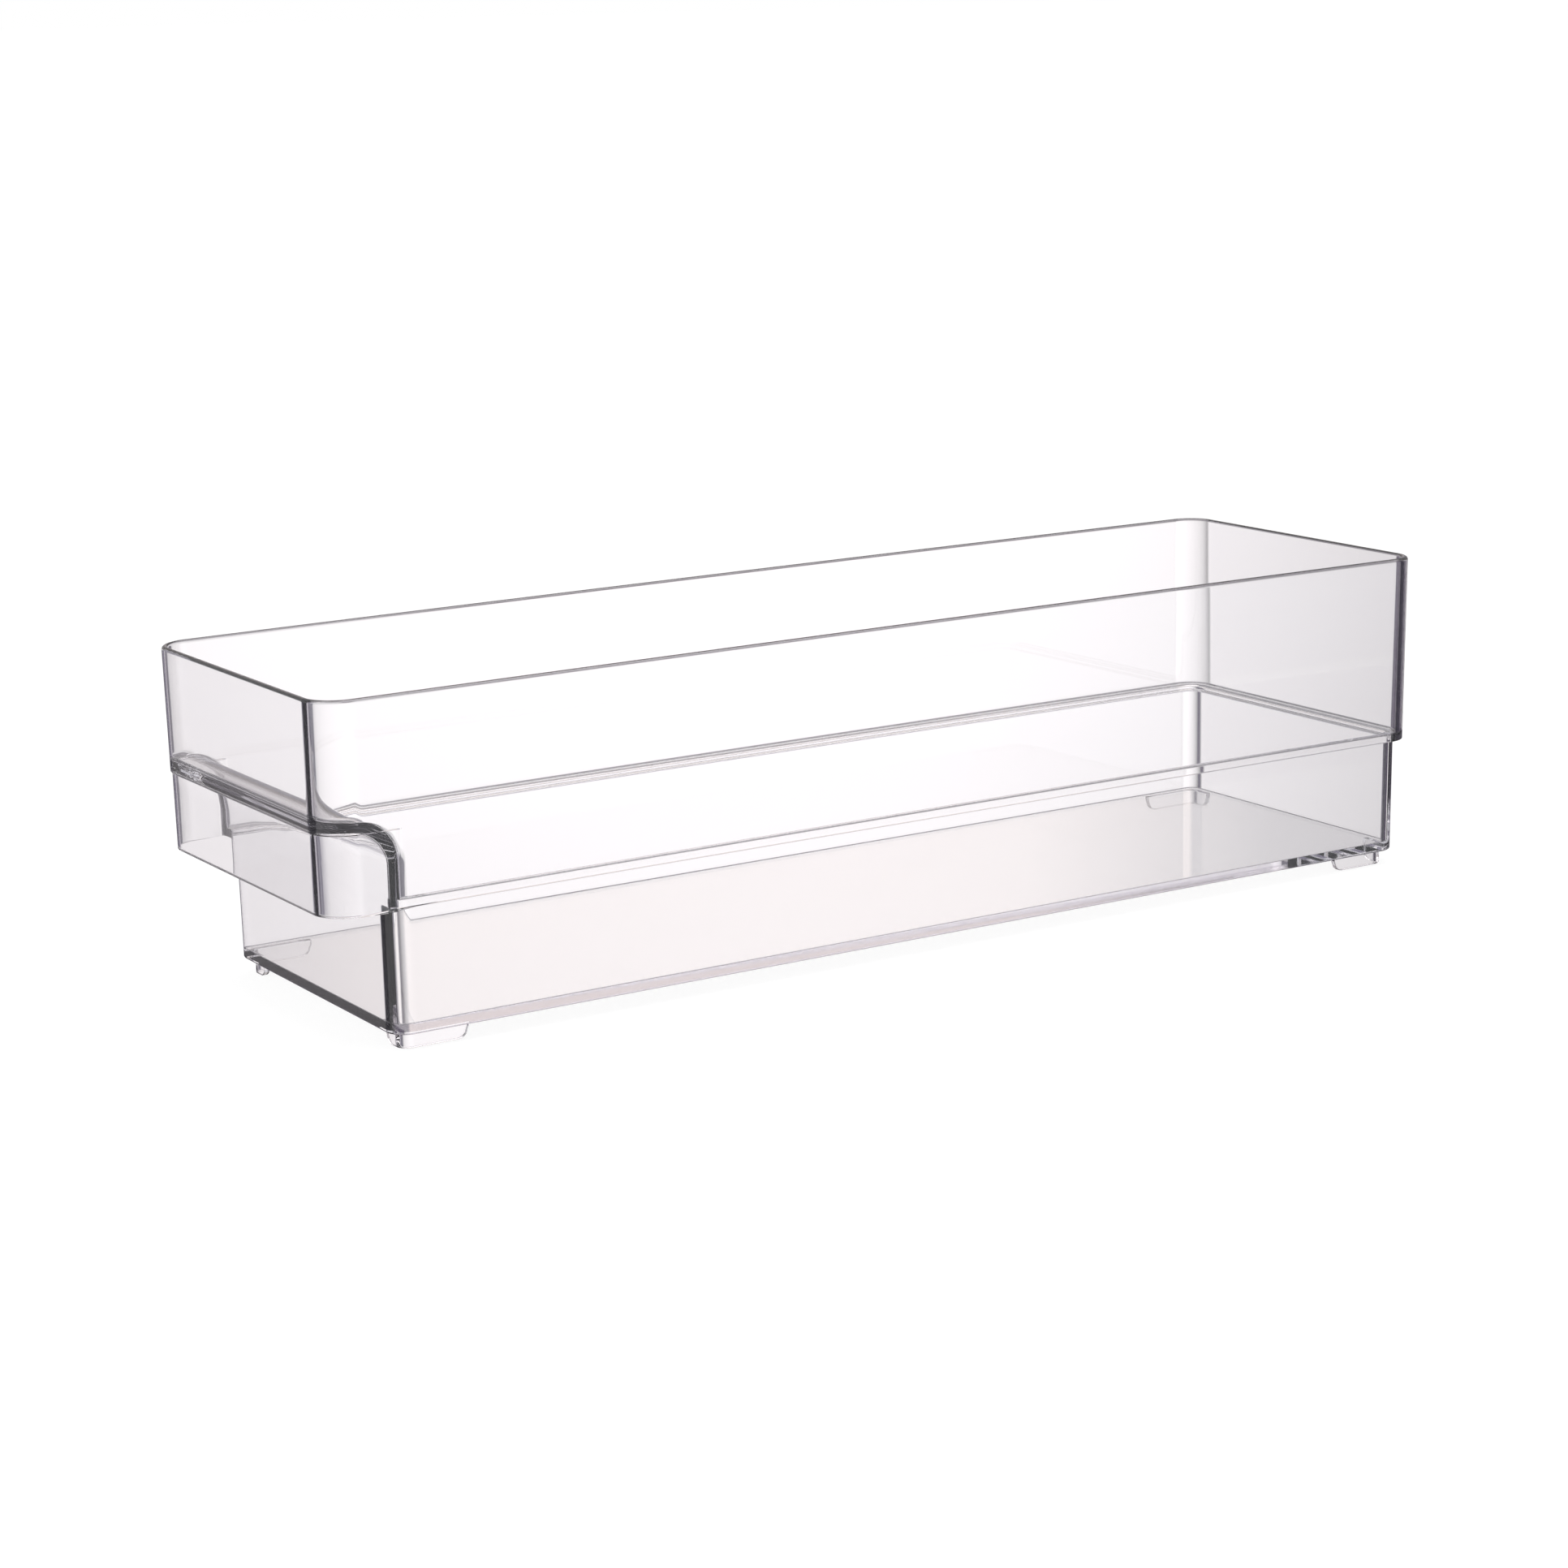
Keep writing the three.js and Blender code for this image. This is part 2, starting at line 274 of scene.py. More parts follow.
@dataclass(frozen=True)
class TrayShell:
    """The tray as one bowl: walls, ledge, lower box, floor, and the handle shelf on the inside.

    The front corners are wider than the rear ones by front_wider. Their inside is tighter than an
    even wall would make it, by inside_tighter. A lean is how far a wall comes in from its top to
    its foot.
    """

    rim_half: float = 55.0
    rim_reach: float = 185.0
    height: float = 97.0
    wall: float = 2.0
    side_lean: float = 0.37
    front_lean: float = 0.52
    rear_lean: float = 0.44
    rim_corner: float = 8.9
    low_corner: float = 9.6
    front_wider: float = 1.3
    inside_tighter: float = 0.8
    bow: float = 0.3

    ledge_under: float = 40.0
    ledge_edge: float = 0.2
    ledge_inner_edge: float = 0.7
    ledge_fillet: float = 0.6
    under_fillet: float = 0.6

    box_inset: float = 3.1
    box_front: float = -166.0
    box_lean: float = 0.3
    box_wall: float = 2.8
    box_corner: float = 6.0
    box_inner_corner: float = 1.0
    floor_under: float = 4.6
    floor_thick: float = 2.6
    floor_edge: float = 0.7
    floor_fillet: float = 0.35

    shelf_top: float = 64.4
    shelf_thick: float = 2.6
    shelf_fillet: float = 1.8
    shelf_fade_rear: float = 2.5
    shelf_fade_front: float = 1.0
    bend_outer: float = 13.0

    skirt_top: float = 61.4
    skirt_step: float = 0.45
    skirt_blend: float = 0.25
    skirt_drop: float = 0.7
    skirt_end: float = -163.4
    skirt_fade: float = 1.0

    around: Stations = Stations()
    blend_points: int = 5
    wall_steps: int = 7
    upper_steps: int = 8
    skirt_steps: int = 6
    shelf_steps: int = 5
    bend_steps: int = 24
    neck_steps: int = 4

    @property
    def floor_top(self) -> float:
        """The height of the floor's upper face."""
        return self.floor_under + self.floor_thick

    @property
    def ledge_top(self) -> float:
        """The height of the ledge's upper face."""
        return self.ledge_under + self.wall

    @property
    def box_inner_front(self) -> float:
        """The y of the lower box's front wall, on its inside."""
        return self.box_front + self.box_wall

    @property
    def bend_start(self) -> float:
        """The y at which the shelf starts to bend down."""
        return self.box_inner_front - self.bend_outer

    def upper(self, height: Numbers, inset: Numbers) -> Sections:
        """Sections of the upper walls: the rim's outline, drawn in by the walls' lean.

        Args:
            height: the heights of the sections.
            inset: how much farther in they are.

        Returns:
            The sections.
        """
        depth = (self.height - height) / (self.height - self.ledge_under)
        corner = self.rim_corner + (self.low_corner - self.rim_corner) * depth - inset
        return Sections(
            half=self.rim_half - self.side_lean * depth - inset,
            front=-self.rim_reach + self.front_lean * depth + inset,
            rear=self.rim_reach - self.rear_lean * depth - inset,
            front_round=corner + self.front_wider,
            rear_round=corner,
            height=height,
        )

    def box(
        self, height: Numbers, inset: Numbers = 0.0, front_inset: Numbers | None = None
    ) -> Sections:
        """Sections of the lower box: its top outline, drawn in by its lean.

        Args:
            height: the heights of the sections.
            inset: how much farther in they are.
            front_inset: the same for the front alone, where it differs.

        Returns:
            The sections.
        """
        at_front = inset if front_inset is None else front_inset
        lean = self.box_lean * (self.ledge_under - height) / (self.ledge_under - self.floor_under)
        drawn = lean + inset
        return Sections(
            half=self.rim_half - self.side_lean - self.box_inset - drawn,
            front=self.box_front + lean + at_front,
            rear=self.rim_reach - self.rear_lean - self.box_inset - drawn,
            front_round=self.box_corner - at_front,
            rear_round=self.box_corner - inset,
            height=height,
        )

    def outside_low(self) -> np.ndarray:
        """The lower box's outside: the floor's rounded edge, the walls, and a fillet above them.

        The front has no fillet, because the pocket opens there.

        Returns:
            The loops, from the floor's underside up.
        """
        edge, under = Round(self.floor_edge, with_start=True), Round(self.under_fillet)
        wall_heights = even(
            self.floor_under + edge.radius, self.ledge_under - under.radius, self.wall_steps
        )
        return self.around.loops(
            self.box(self.floor_under + edge.gone, edge.to_go),
            self.box(wall_heights),
            self.box(self.ledge_under - under.to_go, -under.gone, front_inset=0.0),
        )

    def outside_up(self) -> np.ndarray:
        """The upper outside, from the ledge's underside to the rim's crest.

        In front of the pocket's rear wall the outline moves in by the skirt's step and down by
        its drop: plain + (moved - plain) s, where s eases from 0 to 1.

        Returns:
            The loops, from the ledge up.
        """
        edge, rim = Round(self.ledge_edge, with_start=True), Round(self.wall / 2)
        step = self.skirt_top + np.linspace(-self.skirt_blend, self.skirt_blend, self.blend_points)
        heights = np.concatenate(
            [
                self.ledge_under + edge.gone,
                even(self.ledge_under + edge.radius, step[0], self.skirt_steps)[:-1],
                step,
                even(step[-1], self.height - rim.radius, self.upper_steps),
                self.height - rim.to_go,
            ]
        )
        insets = np.zeros(len(heights))
        insets[: len(edge.turn)] = edge.to_go
        insets[-len(rim.turn) :] = rim.gone
        plain = self.around.loops(self.upper(heights, insets))
        sunk = self.skirt_step * ease(heights, step[-1], step[0])
        moved = self.around.loops(self.upper(heights, insets + sunk))
        below = np.clip((self.skirt_top - heights) / (self.skirt_top - self.ledge_under), 0, 1)
        moved[:, :, 2] -= (self.skirt_drop * below)[:, None]
        share = ease(plain[:, :, 1], self.skirt_end, self.skirt_end - self.skirt_fade)
        return plain + (moved - plain) * share[:, :, None]

    def inside_up(self) -> np.ndarray:
        """The upper inside: over the rim's crest, down the walls and back along the handle shelf.

        The walls meet the shelf in a fillet, which fades out behind the start of the bend.

        Returns:
            The loops, from the crest down, and on the shelf from its edge to the bend.
        """
        rim, fillet = Round(self.wall / 2), Round(self.shelf_fillet)
        over = self.upper(self.height - rim.gone, self.wall - rim.to_go)
        wall_heights = even(
            self.height - rim.radius, self.shelf_top + fillet.radius, self.wall_steps
        )
        walls = self.around.loops(
            over.tightened(self.inside_tighter * np.sin(rim.turn)),
            self.upper(wall_heights, self.wall).tightened(self.inside_tighter),
        )

        heights = self.shelf_top + fillet.to_go
        plain, filled = (
            self.around.loops(self.upper(heights, inset).tightened(self.inside_tighter))
            for inset in (self.wall, self.wall + fillet.gone)
        )
        fade_from = self.bend_start + self.shelf_fade_rear
        share = ease(plain[:, :, 1], fade_from, self.bend_start - self.shelf_fade_front)
        foot = plain + (filled - plain) * share[:, :, None]

        bend_edge = self.around.loops(
            replace(
                self.upper(self.shelf_top, self.wall),
                front=self.bend_start,
                front_round=self.shelf_fillet,
            )
        )
        back = even(0, 1, self.shelf_steps)[:-1, None, None]
        shelf = foot[-1:] + (bend_edge - foot[-1:]) * back
        return np.concatenate([walls, foot, shelf])

    def inside_bend(self) -> np.ndarray:
        """The bend of the shelf, then the inside straight down to the ledge.

        At the front the bend is y = c + R sin a and z = d + R cos a.

        Returns:
            The loops, from the shelf down.
        """
        angle = np.linspace(0, QUARTER, self.bend_steps + 1)
        bend = replace(
            self.upper(self.shelf_top - self.bend_outer * (1 - np.cos(angle)), self.wall),
            front=self.bend_start + self.bend_outer * np.sin(angle),
            front_round=self.shelf_fillet,
        )
        fillet = Round(self.ledge_fillet)
        neck_heights = even(
            self.shelf_top - self.bend_outer, self.ledge_top + fillet.radius, self.neck_steps
        )
        neck, settled = (
            replace(part, front=self.box_inner_front, front_round=self.shelf_fillet)
            for part in (
                self.upper(neck_heights, self.wall),
                self.upper(self.ledge_top + fillet.to_go, self.wall + fillet.gone),
            )
        )
        return self.around.loops(bend, neck, settled)

    def inside_low(self) -> np.ndarray:
        """The lower box's inside: the ledge's rounded edge, the walls, and the floor's fillet.

        Returns:
            The loops, from the ledge down to the floor.
        """
        edge = Round(self.ledge_inner_edge, with_start=True)
        fillet = Round(self.floor_fillet)
        lip = self.box(self.ledge_top - edge.gone, self.box_wall - edge.to_go)
        wall_heights = even(
            self.ledge_top - edge.radius, self.floor_top + fillet.radius, self.wall_steps
        )
        walls = self.box(wall_heights, self.box_wall)
        floor = self.box(self.floor_top + fillet.to_go, self.box_wall + fillet.gone)
        return self.around.loops(
            replace(lip, front=self.box_inner_front, front_round=self.box_inner_corner),
            replace(
                walls,
                front=np.maximum(walls.front, self.box_inner_front),
                front_round=self.box_inner_corner,
            ),
            replace(floor, front_round=self.box_inner_corner - fillet.gone),
        )

    def bowed(self, loops: np.ndarray) -> np.ndarray:
        """The loops with the long sides arched up: b(1 - (y/L)^2), faded in above the floor.

        Args:
            loops: an array of loops by points by x, y and z.

        Returns:
            A new array of the same shape.
        """
        share = ease(loops[:, :, 2], self.floor_under, self.ledge_under)
        lift = self.bow * (1 - (loops[:, :, 1] / self.rim_reach) ** 2) * share
        return loops + lift[:, :, None] * (0.0, 0.0, 1.0)

    def build(self) -> bpy.types.Object:
        """The bowl as one closed mesh: up the outside, over the rim and down the inside.

        Returns:
            The shell, not yet hollowed under the handle shelf.
        """
        strips = (
            self.outside_low(),
            self.outside_up(),
            self.inside_up(),
            self.inside_bend(),
            self.inside_low(),
        )
        return closed_object("tray_shell", self.bowed(np.concatenate(strips)))


@dataclass(frozen=True)
class FingerPocket:
    """The hollow under the handle shelf, open below. It is cut out of the shell.

    The bottom lies just below the tray there, so that the cut opens it. What is farther in front
    of the rear wall than rear_margin leans with the tray's front. The bend starts where it meets
    the roof, but never farther round than where its sine is steepest.
    """

    shell: TrayShell
    bottom: float = 38.6
    fillet: float = 1.0
    mouth_round: float = 0.6
    mouth_steps: int = 6
    rear_shift: float = 0.02
    rear_margin: float = 0.5
    steepest: float = 0.999
    corner_steps: int = 24
    middle_points: int = 12
    rise_steps: int = 7
    roof_steps: int = 5
    bend_points: int = 24
    drop_steps: int = 4

    @property
    def half(self) -> float:
        """Half of the hollow's width, at the ledge's underside."""
        tray = self.shell
        return tray.rim_half - tray.side_lean - tray.wall - tray.skirt_step

    @property
    def corner(self) -> float:
        """The radius of the hollow's front corners."""
        tray = self.shell
        outside = tray.low_corner + tray.front_wider
        return outside - tray.wall - tray.skirt_step - tray.inside_tighter

    def across(self) -> np.ndarray:
        """Places across the tray, close together where a corner or a fillet turns.

        Returns:
            The x of each place, as one column.
        """
        straight = self.half - self.corner
        arc = np.sin(np.linspace(0, QUARTER, self.corner_steps + 1))
        turns = [straight + self.corner * arc, self.half - self.fillet + self.fillet * arc]
        right = np.unique(np.round(np.concatenate(turns), 4))
        middle = np.linspace(-straight, straight, self.middle_points)[1:-1]
        return np.concatenate([-right[::-1], middle, right])[:, None]

    def build(self) -> bpy.types.Object:
        """The hollow as a closed mesh: one upright section in y and z for each place across.

        A section runs up the front wall, round a small fillet, back along the roof, round the
        bend and down the rear wall. Towards the sides the front wall follows the corner's circle,
        and the roof and the rear wall draw in by a fillet. The bend is y = c + R sin a and
        z = d + R cos a, up to 90 degrees. The mouth flares out, and the sides lean with the tray.

        Returns:
            The hollow.
        """
        tray = self.shell
        x = self.across()
        into_corner = np.clip(np.abs(x) - (self.half - self.corner), 0, self.corner)
        into_side = np.clip(np.abs(x) - (self.half - self.fillet), 0, self.fillet)
        outer_front = -tray.rim_reach + tray.front_lean + tray.wall + tray.skirt_step
        front = outer_front + circle_drop(into_corner, self.corner)
        drawn = circle_drop(into_side, self.fillet)
        rear = tray.box_front - self.rear_shift - drawn

        roof_round = tray.bend_outer - (tray.box_wall + tray.shelf_thick) / 2
        centre_y = tray.box_front - roof_round
        centre_z = tray.shelf_top - tray.shelf_thick - roof_round
        reach = roof_round - drawn
        start = front + self.fillet
        first = np.arcsin(np.clip((start - centre_y) / reach, 0, self.steepest))
        angle = first + (QUARTER - first) * np.linspace(0, 1, self.bend_points)
        bend_y, bend_z = centre_y + reach * np.sin(angle), centre_z + reach * np.cos(angle)
        roof = np.linspace(0, 1, self.roof_steps + 1)[:-1]
        roof_y = start + np.maximum(centre_y - start, 0) * roof

        flare, turn = Round(self.mouth_round, self.mouth_steps), Round(self.fillet)
        mouth = tray.ledge_under - tray.skirt_drop
        low_z = np.concatenate([[self.bottom, mouth], mouth + flare.gone])
        top = bend_z[:, :1] - self.fillet
        rising = low_z[-1] + (top - low_z[-1]) * even(0, 1, self.rise_steps)
        wall_z = np.concatenate([np.tile(low_z, (len(x), 1)), rising], axis=1)
        drop_z = bend_z[:, -1:] + (self.bottom - bend_z[:, -1:]) * even(0, 1, self.drop_steps)
        z = np.concatenate(
            [
                wall_z,
                top + self.fillet * np.sin(turn.turn),
                np.broadcast_to(bend_z[:, :1], roof_y.shape),
                bend_z,
                drop_z,
            ],
            axis=1,
        )
        y = np.concatenate(
            [
                np.broadcast_to(front, wall_z.shape),
                front + turn.gone,
                roof_y,
                np.minimum(bend_y, rear),
                np.broadcast_to(rear, drop_z.shape),
            ],
            axis=1,
        )
        out = np.zeros(y.shape[1])
        out[: len(low_z)] = np.concatenate([[flare.radius, flare.radius], flare.to_go])
        y = y - out

        depth = (tray.ledge_under - z) / (tray.height - tray.ledge_under)
        y = y + np.where(y < rear - self.rear_margin, tray.front_lean * depth, 0)
        x = x * (1 - tray.side_lean * depth / self.half)
        x = x + np.sign(x) * out * (into_corner / self.corner)
        return closed_object("finger_pocket", tray.bowed(np.stack([x, y, z], axis=-1)))


@dataclass(frozen=True)
class CornerFoot:
    """An upright L-shaped rib under a corner of the floor."""

    shell: TrayShell
    inset: float = 3.0
    thick: float = 1.8
    corner: float = 3.6
    end_round: float = 3.2
    edge_round: float = 0.35
    sunk: float = 0.6
    long_leg: float = 20.0
    short_leg: float = 9.0
    long_points: int = 22
    short_points: int = 14
    corner_steps: int = 12
    edge_steps: int = 5

    def plan(self, edge_x: float, edge_y: float) -> tuple[np.ndarray, np.ndarray, np.ndarray]:
        """The L's middle line: along the long leg, round a quarter circle, along the short leg.

        Args:
            edge_x: the x of the long leg's outer face.
            edge_y: the y of the short leg's outer face.

        Returns:
            The line's x and y, and the angle that points across it, each as one column.
        """
        bend = self.corner - self.thick / 2
        line_x, line_y = edge_x - self.thick / 2, edge_y - self.thick / 2
        long_y = np.linspace(edge_y - self.long_leg, line_y - bend, self.long_points)
        turn = even(0, QUARTER, self.corner_steps)[:-1]
        short_x = np.linspace(line_x - bend, edge_x - self.short_leg, self.short_points)
        parts = (
            (np.full_like(long_y, line_x), long_y, np.zeros_like(long_y)),
            (line_x - bend + bend * np.cos(turn), line_y - bend + bend * np.sin(turn), turn),
            (short_x, np.full_like(short_x, line_y), np.full_like(short_x, QUARTER)),
        )
        x, y, angle = (np.concatenate(column)[:, None] for column in zip(*parts))
        return x, y, angle

    def build(self, corner: Corner) -> bpy.types.Object:
        """One foot: a plate's section with a rounded sole, carried along the plan.

        Near an end the sole rises along a circle: z = r - sqrt(r^2 - (r - d)^2), where d is the
        distance to the end.

        Args:
            corner: where it stands.

        Returns:
            The foot.
        """
        tray = self.shell
        side, end = corner.value
        drawn = tray.box_lean + self.inset
        edge_x = tray.rim_half - tray.side_lean - tray.box_inset - drawn
        rear_y = tray.rim_reach - tray.rear_lean - tray.box_inset - drawn
        x, y, angle = self.plan(edge_x, rear_y if end > 0 else -tray.box_front - drawn)
        steps = np.hypot(np.diff(x[:, 0]), np.diff(y[:, 0]))
        length = np.concatenate([[0.0], np.cumsum(steps)])[:, None]
        to_end = np.minimum(length, length[-1] - length)
        sole = circle_drop(np.clip(self.end_round - to_end, 0, self.end_round), self.end_round)

        middle = self.thick / 2
        edge = Round(self.edge_round, self.edge_steps, with_start=True)
        reach = middle - edge.to_go
        over = np.concatenate([[-middle], -reach[::-1], reach, [middle]])
        top = np.full_like(x, tray.floor_under + self.sunk)
        lift = np.concatenate([edge.gone[::-1], edge.gone])
        z = np.concatenate([top, sole + lift, top], axis=1)
        loops = np.stack([x + np.cos(angle) * over, y + np.sin(angle) * over, z], axis=-1)
        return closed_object(f"foot_{corner.name.lower()}", loops * (side, end, 1))


@dataclass(frozen=True)
class Graph:
    """A node tree that nodes are added to."""

    tree: bpy.types.NodeTree

    def node(
        self, kind: str, settings: dict[str, Any] | None = None, **sockets: Any
    ) -> bpy.types.Node:
        """A new node, with its settings made first and its sockets set or linked after.

        Args:
            kind: the node's type.
            settings: its properties, by name.
            sockets: values or Signals, by the input's name with underscores for spaces, or by its
                place, as _0 or _1.

        Returns:
            The node.
        """
        made = self.tree.nodes.new(kind)
        for name, value in (settings or {}).items():
            setattr(made, name, value)
        for name, value in sockets.items():
            bare = name.strip("_")
            socket = made.inputs[int(bare) if bare.isdigit() else bare.replace("_", " ")]
            if isinstance(value, Signal):
                self.tree.links.new(value.socket, socket)
            else:
                socket.default_value = value
        return made

    def signals(self, kind: str, *outputs: str, **sockets: Any) -> tuple["Signal", ...]:
        """Several outputs of a new node, by their names, with its sockets as node takes them."""
        made = self.node(kind, **sockets)
        return tuple(Signal(self, made.outputs[output]) for output in outputs)

    def signal(self, kind: str, settings: dict[str, Any] | None = None, **sockets: Any) -> "Signal":
        """A new node's first output. It takes the same arguments as node."""
        return Signal(self, self.node(kind, settings, **sockets).outputs[0])

    def math(self, operation: str, first: Any, second: Any = 0.0) -> "Signal":
        """A Math node's result, from numbers or Signals."""
        return self.signal("ShaderNodeMath", {"operation": operation}, _0=first, _1=second)


@dataclass(frozen=True)
class Signal:
    """A socket that sums and products can be written with."""

    graph: Graph
    socket: bpy.types.NodeSocket

    def __add__(self, other: Any) -> "Signal":
        """This plus other."""
        return self.graph.math("ADD", self, other)

    def __mul__(self, other: Any) -> "Signal":
        """This times other."""
        return self.graph.math("MULTIPLY", self, other)

    def __sub__(self, other: Any) -> "Signal":
        """This minus other."""
        return self.graph.math("SUBTRACT", self, other)

    def __rsub__(self, other: Any) -> "Signal":
        """Other minus this."""
        return self.graph.math("SUBTRACT", other, self)

    __radd__ = __add__
    __rmul__ = __mul__

    def positive(self) -> "Signal":
        """This where it is above 0, and 0 elsewhere."""
        return self.graph.math("MAXIMUM", self)

    def clamped(self, low: float, high: float) -> "Signal":
        """A rise from 0 to 1, as this goes from low to high."""
        ends = {"From_Min": low, "From_Max": high, "To_Min": 0.0, "To_Max": 1.0}
        return self.graph.signal("ShaderNodeMapRange", {"clamp": True}, Value=self, **ends)

    def ramp(self, width: float) -> "Signal":
        """A rise from 0 to 1 that is width wide, with this at 0 in its middle."""
        return self.clamped(-width / 2, width / 2)


def emptied(owner: bpy.types.Material | bpy.types.World) -> Graph:
    """The node tree of a new material or world, with no nodes in it.

    Args:
        owner: the material or world.

    Returns:
        Its tree, ready for nodes.
    """
    owner.use_nodes = True
    owner.node_tree.nodes.clear()
    return Graph(owner.node_tree)


@dataclass(frozen=True)
class ClearPlastic:
    """Polished clear plastic: a faint violet body, fine scuffs on the floor, a slight waviness.

    The scuffs lie within scuff_full of the floor's upper face, and fade out at scuff_end. The
    noises' scales are per metre, and the wave's depth is in metres.
    """

    floor_top: float
    index: float = 1.57
    tint: Triple = (1.0, 1.0, 1.0)
    body_colour: Triple = (0.12, 0.0, 0.35)
    body_density: float = 1.2
    haze: float = 0.008
    polish: float = 0.012
    scuffed: float = 0.06
    scuff_full: float = 0.2
    scuff_end: float = 1.0
    scuff_scale: float = 60.0
    scuff_levels: Span = (0.42, 0.75)
    wave_scale: float = 14.0
    wave_strength: float = 0.05
    wave_depth: float = 0.0004

    def roughness(self, graph: Graph, place: Signal) -> Signal:
        """The polish everywhere, and on the floor's top the scuffs, as a cloudy noise.

        Args:
            graph: the material's nodes.
            place: the Object coordinates.

        Returns:
            The roughness.
        """
        (height,) = graph.signals("ShaderNodeSeparateXYZ", "Z", Vector=place)
        near, far = self.scuff_full, self.scuff_end
        below, above = (
            height.clamped((self.floor_top + start) * MM, (self.floor_top + end) * MM)
            for start, end in ((-far, -near), (near, far))
        )
        cloud = graph.signal(
            "ShaderNodeTexNoise", Vector=place, Scale=self.scuff_scale, Detail=5.0, Roughness=0.6
        )
        return below * (1 - above) * cloud.clamped(*self.scuff_levels) * self.scuffed + self.polish

    def make(self, name: str) -> bpy.types.Material:
        """The material, which reads Object coordinates.

        Args:
            name: its name.

        Returns:
            The material.
        """
        material = bpy.data.materials.new(name)
        graph = emptied(material)
        (place,) = graph.signals("ShaderNodeTexCoord", "Object")
        wave = graph.signal(
            "ShaderNodeTexNoise", Vector=place, Scale=self.wave_scale, Detail=2.0, Roughness=0.5
        )
        surface = graph.signal(
            "ShaderNodeBsdfPrincipled",
            Base_Color=(*self.tint, 1.0),
            Roughness=self.roughness(graph, place),
            IOR=self.index,
            Transmission_Weight=1.0 - self.haze,
            Normal=graph.signal(
                "ShaderNodeBump",
                Strength=self.wave_strength,
                Distance=self.wave_depth,
                Height=wave,
            ),
        )
        volume = graph.signal(
            "ShaderNodeVolumeAbsorption",
            Color=(*self.body_colour, 1.0),
            Density=self.body_density,
        )
        graph.node("ShaderNodeOutputMaterial", Surface=surface, Volume=volume)
        return material


@dataclass(frozen=True)
class Tray:
    """The whole moulding: the shell, less its finger pocket, with its four feet."""

    shell: TrayShell = TrayShell()
    crease: float = math.radians(38)
    normal_weight: int = 50

    def build(self) -> bpy.types.Object:
        """The moulding as one smooth mesh: booleans cut the pocket and join the feet.

        Returns:
            The moulding. The shell and the helpers are removed.
        """
        body = self.shell.build()
        helpers = [(Joining.CUT, FingerPocket(self.shell).build())]
        helpers += [(Joining.ADD, CornerFoot(self.shell).build(corner)) for corner in Corner]
        for joining, helper in helpers:
            step = body.modifiers.new(helper.name, "BOOLEAN")
            step.operation, step.solver, step.object = joining.value, "EXACT", helper
        bpy.context.view_layer.update()
        finished = body.evaluated_get(bpy.context.evaluated_depsgraph_get())
        mesh = bpy.data.meshes.new_from_object(finished)
        mesh.name = "organizer_moulding"
        for spare in (body, *(helper for _, helper in helpers)):
            bpy.data.objects.remove(spare)
        piece = bpy.data.objects.new("organizer_moulding", mesh)
        bpy.context.scene.collection.objects.link(piece)
        self.smooth(piece)
        return piece

    def smooth(self, piece: bpy.types.Object) -> None:
        """Smooth shading that keeps flat faces flat: point normals weighted by face area.

        Args:
            piece: the moulding.
        """
        mesh = piece.data
        mesh.polygons.foreach_set("use_smooth", np.ones(len(mesh.polygons), bool))
        mesh.set_sharp_from_angle(angle=self.crease)
        weigh = piece.modifiers.new("even_normals", "WEIGHTED_NORMAL")
        weigh.mode, weigh.weight, weigh.keep_sharp = "FACE_AREA", self.normal_weight, True

    def dress(self, piece: bpy.types.Object, plastic: ClearPlastic) -> None:
        """Gives the moulding its plastic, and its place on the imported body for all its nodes.

        Args:
            piece: the moulding.
            plastic: what it is made of.
        """
        piece.data.materials.clear()
        piece.data.materials.append(plastic.make("clear_plastic"))
        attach(piece, "root")
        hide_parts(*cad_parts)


@dataclass(frozen=True)
class Zone:
    """A part of the surroundings, by direction.

    The turn is in degrees to the right of the view, and the rise in degrees above level. The
    borders are blurred over soft degrees.
    """

    name: str
    turn: Span
    rise: Span
    colour: Triple
    soft: float = 2.0

    def weight(self, turn: Signal, rise: Signal) -> Signal:
        """How much of the zone a direction sees: the product of four ramps, one at each border.

        Args:
            turn: the direction's turn.
            rise: its rise.

        Returns:
            The weight, from 0 to 1.
        """
        level = (turn - self.turn[0]).ramp(self.soft) * (self.turn[1] - turn).ramp(self.soft)
        return level * (rise - self.rise[0]).ramp(self.soft) * (self.rise[1] - rise).ramp(self.soft)


@dataclass(frozen=True)
class Sweep:
    """The bright sweep behind the object. It is dimmer to both sides, and towards its foot."""

    zone: Zone = Zone("sweep", (-16.5, 15.0), (-22.0, -6.0), (1.0, 0.962, 0.977), 1.4)
    peak: float = 1.12
    fall_left: float = 0.0015
    fall_right: float = 0.0040
    climb: float = 0.020
    middle: float = -12.66

    def glow(self, turn: Signal, rise: Signal) -> Signal:
        """Its strength: peak + climb (rise - middle) - fall turn^2, with a fall for each side.

        Args:
            turn: the direction's turn.
            rise: its rise.

        Returns:
            The strength.
        """
        left, right = (turn * -1).positive(), turn.positive()
        glow = (rise - self.middle) * self.climb + self.peak
        return glow - left * left * self.fall_left - right * right * self.fall_right


